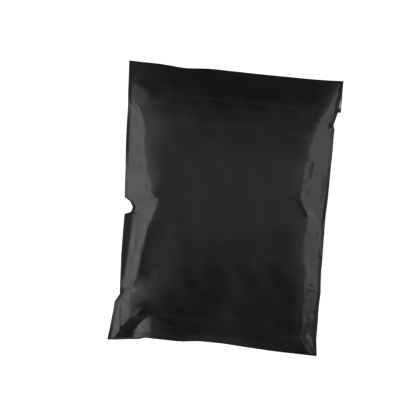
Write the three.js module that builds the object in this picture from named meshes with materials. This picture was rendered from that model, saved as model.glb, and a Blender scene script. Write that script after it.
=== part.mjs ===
// A filled and sealed poly mailer bag, lying on its back with its flap folded underneath.
// Millimetres, +Z up, +X across the bag, +Y towards the folded top edge that carries the flap.
// Front face, top fold, flap and back face are one run of film, welded to itself along both sides.
// The strip of adhesive that holds the flap to the back is a piece of its own.
import * as THREE from "three";
import { mergeVertices } from "three/addons/utils/BufferGeometryUtils.js";

// Size of the filled bag, from corner to corner.
const topWidth = 253;
const bottomWidth = 248;
const leftLength = 329;
const rightLength = 324.5;

// Height of the front face over the contents, and of the two end edges.
const fillHeight = 36;
const topEdgeHeight = 10;
const bottomEdgeHeight = 5;

// Doubled film along the edges, and how far a side weld reaches in from its edge.
const doubledFilm = 0.4;
const weldWidth = 4;

// Flap, measured from the top fold, and the adhesive strip near its free end, with how far the
// strip stops short of the flap's left and right edge.
const flapLength = 37;
const flapThickness = 0.4;
const foldDepth = 0.8;
const adhesiveWidth = 10;
const adhesiveThickness = 0.3;
const adhesiveSetback = 5;
const adhesiveEndMargins = [4, 1];
const clearance = 0.3;

// Back face: how far it runs from a weld, and from the two ends, before it lies flat.
const undersideRun = 22;
const undersideCurve = 1.6;
const flatBelowFlap = 18;
const flatAboveBottom = 28;

// Front face: how sharply it turns down towards the shoulders on either side.
const crownSharpness = 4;

// Faces across each stretch of the mesh, and rows between two side folds.
const bandFaces = 4;
const bellyFaces = 18;
const rowsPerFold = 2;

// Height of the front face down its middle, as a share of the rise from the end edges to the full
// height. Stations run from 0 at the top edge to 1 at the bottom edge.
const frontRise = [
  [0, 0], [0.04, 0.17], [0.15, 0.67], [0.22, 0.87], [0.32, 0.98], [0.45, 1], [0.56, 0.99],
  [0.7, 0.9], [0.82, 0.71], [0.91, 0.47], [0.97, 0.2], [1, 0],
];

// Folds in the film between a side weld and the shoulder, where the film turns over the contents.
// Each runs from a point on the weld to one on the shoulder. A point is [station, inset, height]:
// the station runs from 0 at the flap's free end to 1 at the bottom edge, and the inset is measured
// from the straight line between the bag's corners. ridge is how far the fold's middle stands above
// the straight line between its ends; a valley has a negative one. drop is how far the weld's outer
// edge hangs below its inner edge, and flat how far the film lies flat beyond the weld.
const leftFolds = [
  { weld: [0.008, 2.3, 15], shoulder: [0.008, 7.3, 15.2], ridge: 0, drop: 0 },
  { weld: [0.045, 3, 14.5], shoulder: [0.045, 12.5, 18.5], ridge: 0, drop: 1.8 },
  { weld: [0.083, 3.2, 14], shoulder: [0.085, 20, 22], ridge: 0.4, drop: 1 },
  { weld: [0.118, 3.4, 14], shoulder: [0.125, 24, 24.5], ridge: -0.5, drop: 0.3 },
  { weld: [0.19, 4, 14], shoulder: [0.2, 26.5, 28.5], ridge: 0.6, drop: 0.2 },
  { weld: [0.235, 4.7, 14], shoulder: [0.24, 27.5, 29.5], ridge: -0.8, drop: 0.3 },
  { weld: [0.306, 6, 14], shoulder: [0.306, 33, 30], ridge: 0.8, drop: 2 },
  { weld: [0.36, 6.6, 14], shoulder: [0.355, 38, 32], ridge: -0.6, drop: 2.2 },
  { weld: [0.421, 7.6, 13.5], shoulder: [0.405, 43.5, 33], ridge: 0.6, drop: 2 },
  { weld: [0.436, 14.5, 13], shoulder: [0.43, 48.5, 33.5], ridge: -1, drop: 1 },
  { weld: [0.458, 18.4, 13], shoulder: [0.458, 46.5, 33.5], ridge: 0.5, drop: 0.4 },
  { weld: [0.478, 16.5, 13], shoulder: [0.478, 44.5, 33], ridge: 0, drop: 0.3 },
  { weld: [0.488, 9, 13], shoulder: [0.49, 43.2, 32.5], ridge: 0.4, drop: 0.3, flat: 6 },
  { weld: [0.573, 9, 13], shoulder: [0.56, 38, 30], ridge: -0.8, drop: 0.3, flat: 5.6 },
  { weld: [0.653, 9, 12.3], shoulder: [0.645, 33.4, 27], ridge: 0.6, drop: 0.3, flat: 5 },
  { weld: [0.721, 9.7, 11.2], shoulder: [0.72, 30.4, 24.5], ridge: -0.6, drop: 0.3, flat: 2.4 },
  { weld: [0.773, 10.2, 9.6], shoulder: [0.765, 25, 19.5], ridge: 0.4, drop: 0.3 },
  { weld: [0.812, 10.8, 8.6], shoulder: [0.805, 21, 15.8], ridge: -0.8, drop: 0.3 },
  { weld: [0.842, 5.3, 8], shoulder: [0.845, 22, 18], ridge: 1, drop: 1 },
  { weld: [0.875, 4.6, 8], shoulder: [0.885, 24, 17], ridge: 0.8, drop: 1.4 },
  { weld: [0.9, 3.6, 7.6], shoulder: [0.905, 22, 16], ridge: 0.4, drop: 1.2 },
  { weld: [0.95, 2, 6.5], shoulder: [0.955, 14.5, 11], ridge: 0, drop: 0.6 },
];
const rightFolds = [
  { weld: [0.008, 3.9, 13], shoulder: [0.008, 20.3, 21], ridge: 0, drop: 0 },
  { weld: [0.033, 5.6, 12], shoulder: [0.036, 24.3, 22.5], ridge: 0.4, drop: 0.8 },
  { weld: [0.053, 7.1, 11], shoulder: [0.06, 27.4, 24], ridge: -2.2, drop: 0.8 },
  { weld: [0.071, 5.2, 12.5], shoulder: [0.08, 28, 26], ridge: 1.2, drop: 1.5 },
  { weld: [0.1, 5.6, 13], shoulder: [0.116, 32.7, 29.5], ridge: -0.8, drop: 1.5 },
  { weld: [0.135, 5.2, 13.5], shoulder: [0.15, 36, 31.5], ridge: 1, drop: 2.5 },
  { weld: [0.19, 5.3, 14], shoulder: [0.19, 34.7, 32], ridge: -1, drop: 2 },
  { weld: [0.235, 5.6, 14], shoulder: [0.237, 43.4, 32.5], ridge: 0.8, drop: 1.5 },
  { weld: [0.29, 5.6, 14], shoulder: [0.275, 42, 33], ridge: -0.8, drop: 0.3 },
  { weld: [0.331, 5.7, 14], shoulder: [0.315, 40.2, 33], ridge: 0.6, drop: 0.2 },
  { weld: [0.36, 5.7, 14], shoulder: [0.339, 42, 33.5], ridge: -1.2, drop: 0.2 },
  { weld: [0.401, 6.1, 13.5], shoulder: [0.389, 35.7, 32.5], ridge: 1, drop: 0.2 },
  { weld: [0.44, 6.3, 13.5], shoulder: [0.432, 29.5, 31.5], ridge: -0.6, drop: 0.5 },
  { weld: [0.49, 6, 13.5], shoulder: [0.49, 29, 31], ridge: -0.4, drop: 0.8 },
  { weld: [0.54, 5.7, 13.5], shoulder: [0.56, 31.6, 30.5], ridge: 0.6, drop: 1 },
  { weld: [0.6, 5.2, 13], shoulder: [0.615, 27.3, 28.5], ridge: -0.8, drop: 1 },
  { weld: [0.655, 5, 12.5], shoulder: [0.65, 23.2, 26.5], ridge: -1, drop: 1.2 },
  { weld: [0.7, 4.2, 12], shoulder: [0.704, 26.4, 25.5], ridge: 0.8, drop: 1.2 },
  { weld: [0.738, 3.3, 11.5], shoulder: [0.735, 24.8, 24], ridge: -1, drop: 0.8 },
  { weld: [0.8, 3.8, 10.5], shoulder: [0.8, 26, 21], ridge: 0.5, drop: 0.8 },
  { weld: [0.865, 3, 9], shoulder: [0.865, 23, 17], ridge: -0.6, drop: 0.6 },
  { weld: [0.93, 2.8, 7.5], shoulder: [0.93, 23.4, 12], ridge: 0, drop: 0.3 },
];

// Inset of each side's shoulder line where it meets the top edge and the bottom edge.
const leftEnds = [6, 6];
const rightEnds = [6, 8];

// How far the end edges are drawn in, from the left corner, 0, to the right corner, 1.
const topInset = [[0, 0], [0.17, 0.3], [0.255, 2.8], [0.37, 0.4], [0.6, 1.1], [0.87, 1.2], [1, 0]];
const bottomInset = [
  [0, 0], [0.148, 2.9], [0.19, 6.4], [0.35, 4.6], [0.44, 6.8], [0.55, 6.2], [0.67, 3.8], [0.8, 1.7],
  [1, 0],
];

const { clamp, lerp } = THREE.MathUtils;
const length = (leftLength + rightLength) / 2;
const flapShare = flapLength / length;
const flapGap = adhesiveThickness + 2 * clearance;

// Distances from the top fold at which the flap has a row of points, with the strip's two edges.
const stripEnd = flapLength - adhesiveSetback;
const stripStart = stripEnd - adhesiveWidth;
const flapSteps = [0, stripStart / 2, stripStart, stripEnd, flapLength];

// The two points of a table that lie on either side of a station.
function span(table, station) {
  let k = 1;
  while (k < table.length - 1 && station > table[k][0]) k += 1;
  return [table[k - 1], table[k], k];
}

// Value of a table of [station, value] pairs, with straight lines between its points.
function straight(table, station) {
  const [[s0, v0], [s1, v1]] = span(table, station);
  return lerp(v0, v1, clamp((station - s0) / (s1 - s0), 0, 1));
}

// The same with a smooth curve through the points that never overshoots them.
function smooth(table, station) {
  const [[s0, v0], [s1, v1], k] = span(table, station);
  const secant = (i) => (table[i + 1][1] - table[i][1]) / (table[i + 1][0] - table[i][0]);
  const slope = (i) => {
    if (i === 0) return secant(0);
    if (i === table.length - 1) return secant(i - 1);
    const product = secant(i - 1) * secant(i);
    return product <= 0 ? 0 : (2 * product) / (secant(i - 1) + secant(i));
  };
  const run = s1 - s0;
  const t = clamp((station - s0) / run, 0, 1);
  const ends = lerp(v0, v1, t * t * (3 - 2 * t));
  return ends + run * t * (1 - t) * (slope(k - 1) * (1 - t) - slope(k) * t);
}

// Plan of the bag: the straight line between two corners of a side, and the y of a station.
const cornerLine = (sign, station) => (sign * lerp(topWidth, bottomWidth, station)) / 2;
function planY(x, station) {
  const across = clamp(x / topWidth + 0.5, 0, 1);
  const half = lerp(leftLength, rightLength, across) / 2;
  return lerp(half - straight(topInset, across), straight(bottomInset, across) - half, station);
}

// Height of the front and the back face down the middle of the bag.
const endHeight = (station) => lerp(topEdgeHeight, bottomEdgeHeight, station);
const frontHeight = (station) =>
  lerp(endHeight(station), fillHeight, smooth(frontRise, station));
function backHeight(station) {
  const fromTop = (station * length) / (flapLength + flatBelowFlap);
  const fromBottom = ((1 - station) * length) / flatAboveBottom;
  const lift = (height, t) => height * Math.max(0, 1 - t) ** undersideCurve;
  return lift(topEdgeHeight, fromTop) + lift(bottomEdgeHeight, fromBottom);
}

// A side's lines across the band, one for each row of the mesh, from the top edge to the bottom.
// The first rows are those that the flap shares.
function bandLines(folds, [atTop, atBottom]) {
  const below = ([station, inset, height]) => [lerp(flapShare, 1, station), inset, height];
  const end = (station, inset, height) => ({
    weld: [station, 0, height],
    shoulder: [station, inset, height],
    ridge: 0,
    drop: 0,
    flat: 0,
  });
  const mix = (a, b, t) => ({
    weld: a.weld.map((value, i) => lerp(value, b.weld[i], t)),
    shoulder: a.shoulder.map((value, i) => lerp(value, b.shoulder[i], t)),
    ridge: lerp(a.ridge, b.ridge, t),
    drop: lerp(a.drop, b.drop, t),
    flat: lerp(a.flat, b.flat, t),
  });
  const top = end(0, atTop, topEdgeHeight);
  const lines = folds.map((fold) => ({
    flat: 0,
    ...fold,
    weld: below(fold.weld),
    shoulder: below(fold.shoulder),
  }));
  lines.push(end(1, atBottom, bottomEdgeHeight));

  const rows = flapSteps.map((step) => mix(top, lines[0], step / length / lines[0].weld[0]));
  rows.push(lines[0]);
  for (let k = 1; k < lines.length; k += 1) {
    for (let n = 1; n <= rowsPerFold; n += 1) rows.push(mix(lines[k - 1], lines[k], n / rowsPerFold));
  }
  return rows;
}

// A row of points across the front face, from the left edge to the right edge.
function frontRow(left, right) {
  const lift = doubledFilm / 2;
  const band = (sign, { weld, shoulder, ridge, drop, flat }) => {
    const edgeX = cornerLine(sign, weld[0]) - sign * weld[1];
    const foldX = edgeX - sign * (weldWidth + flat);
    const shoulderX = cornerLine(sign, shoulder[0]) - sign * shoulder[1];
    const points = [new THREE.Vector3(edgeX, planY(edgeX, weld[0]), weld[2] - drop + lift)];
    for (let k = 0; k < bandFaces; k += 1) {
      const share = k / bandFaces;
      const x = lerp(foldX, shoulderX, share);
      const y = planY(x, lerp(weld[0], shoulder[0], share));
      const z = lerp(weld[2], shoulder[2], share) + ridge * Math.sin(Math.PI * share);
      points.push(new THREE.Vector3(x, y, z + lift));
    }
    return { points, shoulderX };
  };
  const [leftBand, rightBand] = [band(-1, left), band(1, right)];
  const belly = [];
  for (let k = 0; k <= bellyFaces; k += 1) {
    const across = (2 * k) / bellyFaces - 1;
    const station = lerp(left.shoulder[0], right.shoulder[0], (across + 1) / 2);
    const x = lerp(leftBand.shoulderX, rightBand.shoulderX, (across + 1) / 2);
    const shoulderZ = across < 0 ? left.shoulder[2] : right.shoulder[2];
    const z = lerp(frontHeight(station), shoulderZ, Math.abs(across) ** crownSharpness);
    belly.push(new THREE.Vector3(x, planY(x, station), z + lift));
  }
  return [...leftBand.points, ...belly, ...rightBand.points.reverse()];
}

// The row of the back face that shares its two edges with a row of the front face.
function backRow(left, right) {
  const lift = doubledFilm / 2;
  const band = (sign, { weld: [station, inset, height], drop }) => {
    const edgeX = cornerLine(sign, station) - sign * inset;
    const flatZ = backHeight(station);
    const points = [new THREE.Vector3(edgeX, planY(edgeX, station), height - drop - lift)];
    for (let k = 0; k < bandFaces; k += 1) {
      const share = k / bandFaces;
      const x = edgeX - sign * (weldWidth + undersideRun * share);
      const z = lerp(flatZ, height - lift, (1 - share) ** undersideCurve);
      points.push(new THREE.Vector3(x, planY(x, station), z));
    }
    return { points, innerX: edgeX - sign * (weldWidth + undersideRun) };
  };
  const [leftBand, rightBand] = [band(-1, left), band(1, right)];
  const belly = [];
  for (let k = 0; k <= bellyFaces; k += 1) {
    const share = k / bellyFaces;
    const station = lerp(left.weld[0], right.weld[0], share);
    const x = lerp(leftBand.innerX, rightBand.innerX, share);
    belly.push(new THREE.Vector3(x, planY(x, station), backHeight(station)));
  }
  return [...leftBand.points, ...belly, ...rightBand.points.reverse()];
}

// A row under the back face, dropped by a distance, whose two ends lie on the straight lines
// between the bag's corners, or a margin inside each of them.
function rowUnder(row, station, drop, [leftMargin, rightMargin]) {
  const end = (point, sign) => {
    const margin = sign < 0 ? leftMargin : rightMargin;
    const x = cornerLine(sign, station) - sign * margin;
    return new THREE.Vector3(x, planY(x, station), point.z);
  };
  const points = [end(row[0], -1), ...row.slice(1, -1), end(row[row.length - 1], 1)];
  return points.map((point) => new THREE.Vector3(point.x, point.y, point.z - drop));
}

// The quads between neighbouring rows of points, each in the order of its corners.
function sheet(rows) {
  const quads = [];
  for (let r = 0; r + 1 < rows.length; r += 1) {
    for (let c = 0; c + 1 < rows[r].length; c += 1) {
      quads.push([rows[r][c], rows[r][c + 1], rows[r + 1][c + 1], rows[r + 1][c]]);
    }
  }
  return quads;
}

// A closed mesh of quads, as one named sub-part. A quad is split along the diagonal that runs
// towards +X and +Y in plan, so sheets that lie over each other are split alike.
function solid(name, quads, material) {
  const runsUp = (from, to) => (to.x - from.x) * (to.y - from.y) > 0;
  const points = quads.flatMap(([a, b, c, d]) =>
    runsUp(a, c) ? [a, b, c, a, c, d] : [a, b, d, b, c, d],
  );
  const geometry = mergeVertices(new THREE.BufferGeometry().setFromPoints(points));
  geometry.computeVertexNormals();
  const mesh = new THREE.Mesh(geometry, material);
  mesh.name = name;
  return mesh;
}

// The last point of each row on one side, in an order that makes a side wall face outwards.
const leftSide = (rows) => rows.map((row) => row[0]);
const rightSide = (rows) => rows.map((row) => row[row.length - 1]);
const sideWalls = (upper, lower) => [
  ...sheet([leftSide(lower), leftSide(upper)]),
  ...sheet([rightSide(upper), rightSide(lower)]),
];

const leftLines = bandLines(leftFolds, leftEnds);
const rightLines = bandLines(rightFolds, rightEnds);
const front = leftLines.map((left, k) => frontRow(left, rightLines[k]));
const back = leftLines.map((left, k) => backRow(left, rightLines[k]));

// The flap lies under the rows of the back face down to its free end, clear of the adhesive. On the
// left its edge lies under the weld's, and on the right it stands out as far as the bag's corner.
const underFlap = (k, drop, margins = [leftLines[k].weld[1], 0]) =>
  rowUnder(back[k], leftLines[k].weld[0], drop, margins);
const flapInside = flapSteps.map((_, k) => (k === 0 ? back[0] : underFlap(k, flapGap)));
const flapOutside = flapSteps.map((_, k) =>
  underFlap(k, k === 0 ? flapThickness : flapGap + flapThickness),
);
const foldNose = front[0].map(
  ({ x, y, z }) => new THREE.Vector3(x, y + foldDepth, z - (doubledFilm + flapThickness) / 2),
);

const film = new THREE.MeshStandardMaterial({ color: 0x17181a, roughness: 0.36, metalness: 0 });
const hotMelt = new THREE.MeshStandardMaterial({ color: 0xd9d5c6, roughness: 0.45, metalness: 0 });

// The film's run: up the front face, round the top fold, down and back up the flap, and down the
// back face. Side walls close the welded edges, the flap's edges and the ends of the top fold.
const run = [...front.toReversed(), foldNose, ...flapOutside];
run.push(...flapInside.slice(1).toReversed(), ...back);
const foldEnds = [
  [foldNose, flapOutside[0], back[0], front[0]].map((row) => row[0]),
  [foldNose, front[0], back[0], flapOutside[0]].map((row) => row[row.length - 1]),
];
const mailerBag = solid(
  "mailer_bag",
  [
    ...sheet(run),
    ...sideWalls(front, back),
    ...sideWalls(flapInside, flapOutside),
    ...foldEnds,
    ...sheet([back[back.length - 1], front[front.length - 1]]),
  ],
  film,
);

// The adhesive strip, between the back face and the flap.
const stripRows = [stripStart, stripEnd].map((step) => flapSteps.indexOf(step));
const stripTop = stripRows.map((k) => underFlap(k, clearance, adhesiveEndMargins));
const stripBottom = stripRows.map((k) =>
  underFlap(k, clearance + adhesiveThickness, adhesiveEndMargins),
);
const adhesiveStrip = solid(
  "adhesive_strip",
  [
    ...sheet(stripTop.toReversed()),
    ...sheet(stripBottom),
    ...sideWalls(stripTop, stripBottom),
    ...sheet([stripTop[0], stripBottom[0]]),
    ...sheet([stripBottom[1], stripTop[1]]),
  ],
  hotMelt,
);

// The bag stands in the middle of its own outline, with its lowest point on the surface.
const bag = new THREE.Group();
bag.add(mailerBag, adhesiveStrip);
const box = new THREE.Box3().setFromObject(bag);
const centre = box.getCenter(new THREE.Vector3());
bag.position.set(-centre.x, -centre.y, -box.min.z);

export default bag;
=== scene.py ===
"""A filled black poly mailer bag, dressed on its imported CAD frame."""
import math
from collections import namedtuple

import bpy
import numpy as np
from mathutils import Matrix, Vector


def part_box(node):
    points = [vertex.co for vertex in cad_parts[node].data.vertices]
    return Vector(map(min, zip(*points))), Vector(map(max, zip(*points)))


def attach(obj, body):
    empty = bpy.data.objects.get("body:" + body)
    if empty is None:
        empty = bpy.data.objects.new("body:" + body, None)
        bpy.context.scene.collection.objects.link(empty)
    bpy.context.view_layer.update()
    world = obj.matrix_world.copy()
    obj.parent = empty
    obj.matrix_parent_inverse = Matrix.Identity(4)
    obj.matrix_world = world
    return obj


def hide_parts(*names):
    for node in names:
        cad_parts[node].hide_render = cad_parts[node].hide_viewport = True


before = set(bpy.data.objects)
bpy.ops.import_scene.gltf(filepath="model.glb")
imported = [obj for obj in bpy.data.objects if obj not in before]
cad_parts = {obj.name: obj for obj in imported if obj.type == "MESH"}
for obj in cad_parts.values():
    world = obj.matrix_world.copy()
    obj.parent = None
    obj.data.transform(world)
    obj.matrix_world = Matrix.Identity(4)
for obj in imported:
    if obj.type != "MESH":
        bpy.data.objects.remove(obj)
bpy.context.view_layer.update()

bl_info = {
    "name": "Poly mailer bag",
    "version": (1, 0, 0),
    "blender": (4, 5, 0),
    "location": "View3D > Sidebar > Mailer",
    "description": "Models a filled film mailer bag, its adhesive strip, stage and camera",
    "category": "Object",
}

BAG_LOW, BAG_HIGH = (np.array(corner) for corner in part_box("mailer_bag"))
MM = 0.001

# Film folds between a side weld and the shoulder, where the film turns over the contents. weld and
# shoulder are (station, inset, height): the station runs from 0 at the flap's free end to 1 at the
# bottom edge, the inset is measured in millimetres from the straight line between two corners.
# ridge is how far the fold's middle stands above the straight line between its ends, drop is how
# far the weld's outer edge hangs below its inner edge, and flat how far the film lies flat beyond
# the weld.
Fold = namedtuple("Fold", "weld shoulder ridge drop flat", defaults=(0,))
LEFT_FOLDS = [
    Fold((0.008, 2.3, 15), (0.008, 7.3, 15.2), 0, 0),
    Fold((0.045, 3, 15), (0.045, 12.5, 17.5), 0, 1.8),
    Fold((0.083, 3.2, 14), (0.085, 20, 22), 0.4, 1),
    Fold((0.118, 3.4, 14), (0.125, 24, 24.5), -0.5, 0.3),
    Fold((0.19, 4, 14), (0.2, 26.5, 28.5), 0.6, 0.2),
    Fold((0.235, 4.7, 14), (0.24, 27.5, 29.5), -0.8, 0.3),
    Fold((0.306, 6, 14), (0.306, 33, 30), 0.8, 2),
    Fold((0.36, 6.6, 14), (0.355, 38, 32), -0.6, 2.2),
    Fold((0.421, 7.6, 13.5), (0.405, 43.5, 33), 0.6, 2),
    Fold((0.436, 14.5, 16.5), (0.43, 48.5, 33.5), -0.4, 1),
    Fold((0.458, 18.4, 17.5), (0.458, 46.5, 33.5), 0.3, 0.4),
    Fold((0.478, 16.5, 16), (0.478, 44.5, 33), 0, 0.3),
    Fold((0.488, 9, 13), (0.49, 43.2, 32.5), 0.4, 0.3, 6),
    Fold((0.573, 9, 13), (0.56, 38, 30), -0.8, 0.3, 5.6),
    Fold((0.653, 9, 12.3), (0.645, 33.4, 27), 0.6, 0.3, 5),
    Fold((0.721, 9.7, 11.2), (0.72, 30.4, 24.5), -0.6, 0.3, 2.4),
    Fold((0.773, 10.2, 9.6), (0.765, 25, 19.5), 0.4, 0.3),
    Fold((0.812, 10.8, 9.6), (0.805, 21, 15.8), 0, 0.3),
    Fold((0.842, 5.3, 8), (0.845, 22, 19.5), 1, 1),
    Fold((0.875, 4.6, 8), (0.885, 24, 19.2), 0.3, 1.4),
    Fold((0.9, 3.6, 7.6), (0.905, 22, 17.5), 0.4, 1.2),
    Fold((0.95, 2, 6.5), (0.955, 14.5, 11), 0, 0.6),
]
RIGHT_FOLDS = [
    Fold((0.008, 3.9, 13), (0.008, 20.3, 21), 0, 0),
    Fold((0.033, 5.6, 12.5), (0.036, 24.3, 22.5), 0.4, 0.8),
    Fold((0.053, 7.1, 12.5), (0.06, 27.4, 24.5), -0.5, 0.8),
    Fold((0.071, 5.2, 12.5), (0.08, 28, 26.2), 0.3, 1.5),
    Fold((0.1, 5.6, 13), (0.116, 32.7, 29), -0.8, 1.5),
    Fold((0.135, 5.2, 13.5), (0.15, 36, 31.5), 1, 2.5),
    Fold((0.19, 5.3, 14), (0.19, 34.7, 32), -1, 2),
    Fold((0.235, 5.6, 14), (0.237, 43.4, 32.5), 0.8, 1.5),
    Fold((0.29, 5.6, 14), (0.275, 42, 33), -0.4, 0.3),
    Fold((0.331, 5.7, 14), (0.315, 40.2, 33), 0.2, 0.2),
    Fold((0.36, 5.7, 14), (0.339, 42, 33.5), 0, 0.2),
    Fold((0.401, 6.1, 13.5), (0.389, 35.7, 32.5), 0.3, 0.2),
    Fold((0.44, 6.3, 13.5), (0.432, 29.5, 31.5), -0.6, 0.5),
    Fold((0.49, 6, 13.5), (0.49, 29, 31), -0.4, 0.8),
    Fold((0.54, 5.7, 13.5), (0.56, 31.6, 29.5), 0.6, 1),
    Fold((0.6, 5.2, 13), (0.615, 27.3, 27.5), -0.8, 1),
    Fold((0.655, 5, 12.5), (0.65, 23.2, 25.7), -1, 1.2),
    Fold((0.7, 4.2, 12), (0.704, 26.4, 25.5), 0.8, 1.2),
    Fold((0.738, 3.3, 11.5), (0.735, 24.8, 24), -1, 0.8),
    Fold((0.8, 3.8, 10.5), (0.8, 26, 21), 0.5, 0.8),
    Fold((0.865, 3, 9), (0.865, 23.5, 18.5), 0, 0.6),
    Fold((0.93, 2.8, 7.5), (0.93, 23.4, 15.5), 0, 0.3),
]

# Inset of each side's shoulder line where it meets the top edge and the bottom edge.
LEFT_ENDS = (6, 6)
RIGHT_ENDS = (6, 8)

# How far the end edges are drawn in, from the left corner, 0, to the right corner, 1.
TOP_INSET = [(0, 0), (0.17, 0.3), (0.255, 2.8), (0.37, 0.4), (0.6, 1.1), (0.87, 1.2), (1, 0)]
BOTTOM_INSET = [
    (0, 0), (0.148, 2.9), (0.19, 6.4), (0.35, 4.6), (0.44, 6.8), (0.55, 6.2), (0.67, 3.8),
    (0.8, 1.7), (1, 0),
]

# Height of the front face down its middle, as a share of the rise from the end edges.
FRONT_RISE = [
    (0, 0), (0.04, 0.17), (0.15, 0.67), (0.22, 0.87), (0.32, 0.98), (0.45, 1), (0.56, 0.99),
    (0.7, 0.9), (0.82, 0.71), (0.91, 0.47), (0.97, 0.2), (1, 0),
]

# How much sooner the front face falls towards the bottom edge at its right-hand shoulder.
RIGHT_FALL = [(0, 0), (0.4, 0), (0.58, 0.11), (0.75, 0.08), (0.9, 0.02), (1, 0)]

# How sharply the front face turns down towards the shoulders on either side.
CROWN_SHARPNESS = 4

# How the back face curves up to its edges: from how far beyond the flap's free end, from how far
# off the bottom edge, in millimetres, and by which power.
RISE_PAST_FLAP = 18
RISE_TO_BOTTOM = 28
UNDERSIDE_CURVE = 1.6

# Creases in the front face, in millimetres. path is seen from above, with x to the right and y
# towards the top fold. left and right are the widths of the two flanks, looking along the path.
# A valley has a negative height.
Crease = namedtuple("Crease", "path height left right")
LEFT_CREASES = [
    Crease([(-122.6, 139.5), (-105.5, 131.5), (-95.5, 123.5)], 0.5, 4, 4),
    Crease([(-117, 50), (-109.5, 57.7)], 0.6, 3, 3),
    Crease([(-104, 49), (-102, 40)], 0.2, 2, 2),
    Crease([(-95.3, 42.6), (-93.4, 34.6)], 0.2, 2, 2),
    Crease([(-97.4, 13.2), (-88, 14), (-79.2, 5.4)], 0.9, 2.5, 2.5),
    Crease([(-107, 13), (-103, 6)], -0.3, 2, 2),
    Crease([(-111, 12), (-107, 5)], 0.25, 1.8, 1.8),
    Crease([(-105.7, -2), (-106.2, -16.8), (-106.6, -28.6), (-106.4, -58.9), (-107.3, -70.7),
            (-108.5, -82.5), (-110.1, -95.5), (-111.5, -105.6)], 0.3, 1.1, 1),
    Crease([(-102.7, -8), (-101.2, -23.4), (-100.4, -39.7), (-100.7, -56.1), (-101.8, -70.2),
            (-103.6, -82.1), (-106, -95.2)], -0.7, 4, 3),
    Crease([(-85.4, -17), (-88.6, -34), (-92, -47), (-94.2, -56), (-94, -65), (-96, -81),
            (-100.5, -91), (-105.7, -105)], 1.6, 4, 5),
    Crease([(-111, -107), (-104, -100)], -0.9, 1.3, 1.3),
    Crease([(-110.5, -108.5), (-101, -107)], 0.7, 1.3, 1.3),
    Crease([(-112, -112), (-118, -118.4)], 0.8, 1.2, 1.2),
    Crease([(-112.7, -119), (-111.7, -137), (-109.6, -154), (-118.4, -160.6)], 0.7, 1.5, 1.5),
    Crease([(-112, -156), (-104, -150), (-99, -144)], -0.8, 4, 5),
    Crease([(-116, -160.5), (-96, -159.2), (-73, -156.8), (-56, -157)], 0.8, 1, 1),
    Crease([(-93.2, -133.8), (-88.6, -126.4), (-85.6, -121.4)], 0.8, 1.5, 1.5),
]
RIGHT_CREASES = [
    Crease([(120.7, 152.8), (115, 139.5), (109, 126), (103, 114.4), (99, 106.5)], 0.3, 3, 3),
    Crease([(99, 106.5), (99.6, 100.7), (102.6, 92.8), (104.6, 83.6), (105.8, 76.7),
            (103.7, 67)], 0.45, 3, 4),
    Crease([(103.7, 67), (99.3, 63), (98.3, 55), (98.3, 48), (91, 37), (87, 32),
            (83.7, 28)], 0.55, 3, 4),
    Crease([(119.5, 139), (121.5, 129)], 0.6, 1.2, 1.2),
    Crease([(119.7, 124.7), (114.5, 117.2)], 0.5, 1.2, 1.2),
    Crease([(118.5, 113), (111, 108)], -0.8, 1.3, 1.3),
    Crease([(119.5, 107), (112, 104.5)], 0.6, 1.3, 1.3),
    Crease([(92.3, 89.5), (90, 84.6), (90.2, 74), (93.5, 62.7)], 0.4, 3, 3),
    Crease([(83.7, 28), (86.2, 20), (89.7, 13.3), (93.8, 6.6), (96.7, 0)], 0.8, 2.5, 1.5),
    Crease([(116, 52), (115.2, 42), (114.9, 33), (114, 21), (113, 7)], 0.4, 1.5, 2.2),
    Crease([(117, -4), (115.4, -12.5), (112.7, -22), (114.5, -29), (116.8, -46)], 0.8, 1.5, 2.2),
    Crease([(99, -81), (120.5, -86.5)], 0.2, 1.6, 1.6),
    Crease([(119.5, -108), (114, -143)], -1.1, 1.8, 2.4),
    Crease([(105, -138.5), (110.2, -141), (114.4, -148), (121.9, -159)], 0.6, 2, 2.5),
]
BELLY_CREASES = [
    Crease([(87, 24), (97, -32)], -0.6, 4, 18),
]

# Lobes of film that stand up like a tent along a path that runs over the bottom edge. left and
# right are how far the flanks reach, looking along the path.
LOBES = [
    Crease([(-74, -129), (-72.5, -147), (-71, -161.5)], 4.8, 34, 18),
    Crease([(-79, -131.5), (-83.1, -136.4), (-94.1, -150.3), (-97, -161.5)], -3.5, 13, 13),
]

# Radius of the rounded shoulders down each side, in millimetres, and how far inwards of a shoulder
# the front face is changed. Its slope there is measured over a few columns.
LEFT_ROUNDING = [
    (0, 0), (0.18, 0), (0.22, 1.5), (0.32, 3), (0.4, 4), (0.45, 3), (0.48, 0), (0.56, 0),
    (0.6, 1.5), (0.72, 1.5), (0.76, 3), (0.82, 3.5), (0.92, 3.5), (0.96, 1), (1, 0),
]
RIGHT_ROUNDING = [
    (0, 3), (0.09, 4), (0.14, 1), (0.18, 2), (0.22, 4), (0.3, 3), (0.34, 4), (0.42, 2), (0.46, 1),
    (0.5, 2), (0.68, 3.5), (0.76, 1.5), (0.8, 2.5), (0.88, 2), (0.92, 0.5), (1, 0),
]
ROUNDING_REACH = 40
SLOPE_COLUMNS = 6

# Before that, the shoulders are evened out over a few columns, by a share and a number of times.
# Smoothing and ripples fade out where the film between weld and shoulder is narrower than this.
SOFT_COLUMNS = 9
SOFT_SHARE = 0.9
SOFT_TIMES = 14
FULL_BAND_WIDTH = 18

# How round the ridge of a crease is against its width, how many widths it reaches, and the length
# over which a lobe rises, in millimetres. Over the last share of the stations, next to the bottom
# edge, the back face rises with the lobes.
CREASE_ROUNDING = 0.3
CREASE_REACH = 5
LOBE_RUN = 14
LOBE_BACK_SHARE = 0.1

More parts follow.
